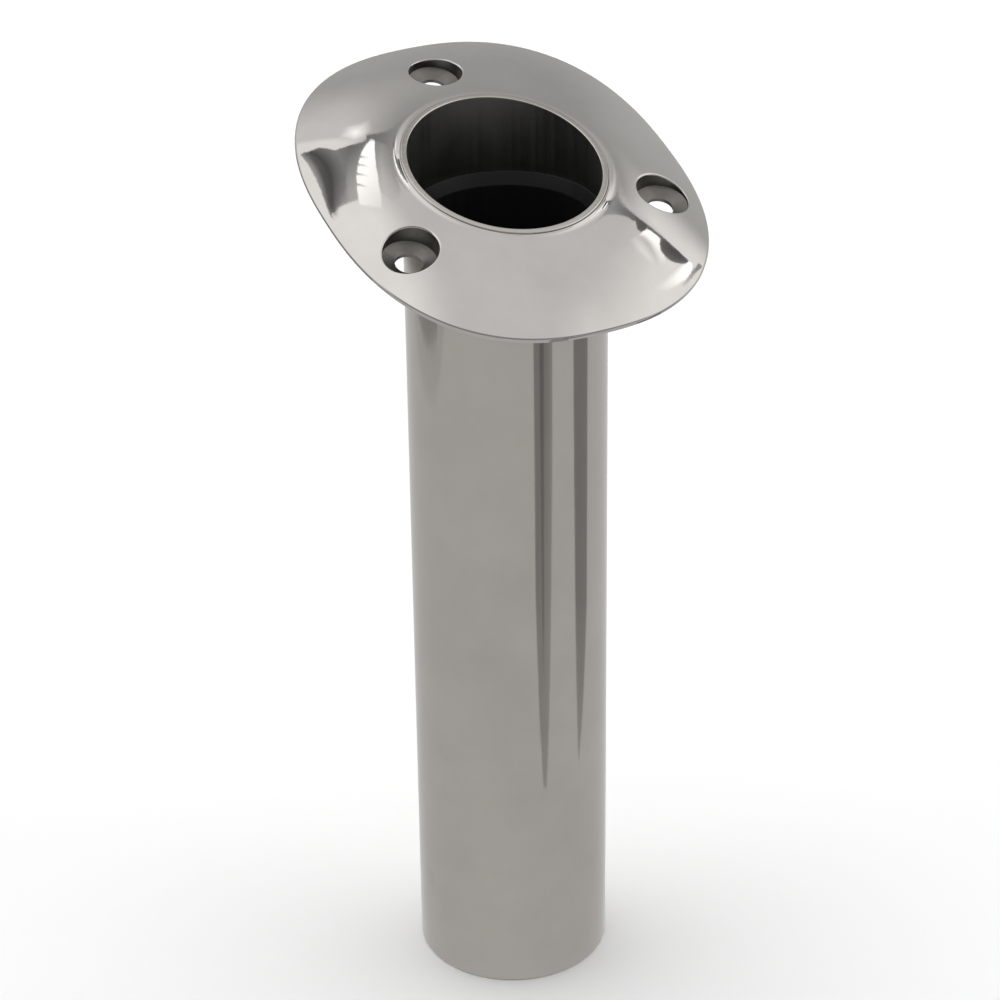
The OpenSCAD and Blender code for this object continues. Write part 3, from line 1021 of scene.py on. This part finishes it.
def degrees_towards(course):
    """How many degrees of the sky lie between straight up and here, along a course."""
    along = maths(sky, "ADD", maths(sky, "MULTIPLY", way.outputs["X"], course.x),
                  maths(sky, "MULTIPLY", way.outputs["Y"], course.y))
    return maths(sky, "MULTIPLY", along, scale)


right, ahead = degrees_towards(view_right), degrees_towards(view_ahead)
left = maths(sky, "MULTIPLY", right, -1.0)
# Overhead: an even soft box, stronger towards both sides, and the dark room behind it
overhead = maths(sky, "ADD", 0.93, maths(
    sky, "ADD", ramp(left, -2, 18, 0.0, 0.44), ramp(right, 20, 40, 0.0, 0.45)))
room_behind = ramp(ahead, -34, -13, 1.0, 0.0)
overhead = maths(sky, "ADD", maths(sky, "MULTIPLY", overhead, maths(sky, "SUBTRACT", 1.0, room_behind)),
                 maths(sky, "MULTIPLY", 0.36, room_behind))
# Beyond it: a greyer wall, lit from both sides near the soft box
wall_left = maths(sky, "MULTIPLY", ramp(left, -8, 14, 0.0, 0.50), ramp(ahead, 38, 60, 1.0, 0.12))
wall_right = maths(sky, "MULTIPLY", ramp(right, 14, 32, 0.0, 0.80), ramp(ahead, 31, 46, 1.0, 0.14))
wall = maths(sky, "ADD", 0.54, maths(sky, "ADD", wall_left, wall_right))
brink = maths(sky, "SUBTRACT", 36.0, ramp(right, 5, 45, 0.0, 6.0))
beyond = ramp(maths(sky, "SUBTRACT", ahead, brink), -1.0, 1.0)
level = maths(sky, "ADD", maths(sky, "MULTIPLY", wall, beyond),
              maths(sky, "MULTIPLY", overhead, maths(sky, "SUBTRACT", 1.0, beyond)))
sky.links.new(level, sky.nodes["Background"].inputs["Strength"])
sky.nodes["Background"].inputs["Color"].default_value = (1, 1, 1, 1)

# A soft lamp that lifts the paper to near white and is kept out of the reflections
lamp_data = bpy.data.lights.new("paper_lamp", "AREA")
lamp = bpy.data.objects.new("paper_lamp", lamp_data)
bpy.context.collection.objects.link(lamp)
lamp_data.shape = "DISK"
lamp_data.size = 3.0
lamp_data.energy = 42.0
lamp.location = (0.4, 0.9, 3.2)
lamp.visible_glossy = False
lamp.visible_camera = False

camera_data = bpy.data.cameras.new("camera")
camera = bpy.data.objects.new("camera", camera_data)
bpy.context.collection.objects.link(camera)
bpy.context.scene.camera = camera
camera_data.sensor_width = 36.0
camera_data.lens = 121.0
camera_data.clip_end = 50.0
view_drop = math.radians(29.32)
view_roll = math.radians(-0.74)
stand_off, stand_height = 0.7562, 0.5599
ahead = Vector((-math.sin(view_turn - view_swing) * math.cos(view_drop),
                math.cos(view_turn - view_swing) * math.cos(view_drop), -math.sin(view_drop)))
side = Vector((math.cos(view_turn - view_swing), math.sin(view_turn - view_swing), 0))
above = side.cross(ahead)
side_rolled = side * math.cos(view_roll) + above * math.sin(view_roll)
above_rolled = -side * math.sin(view_roll) + above * math.cos(view_roll)
eye = Vector((stand_off * math.sin(view_turn), axis_y - stand_off * math.cos(view_turn),
              foot_z + stand_height))
pose = Matrix((side_rolled, above_rolled, -ahead)).transposed().to_4x4()
camera.matrix_world = Matrix.Translation(eye) @ pose

bpy.context.scene.view_settings.view_transform = "Standard"
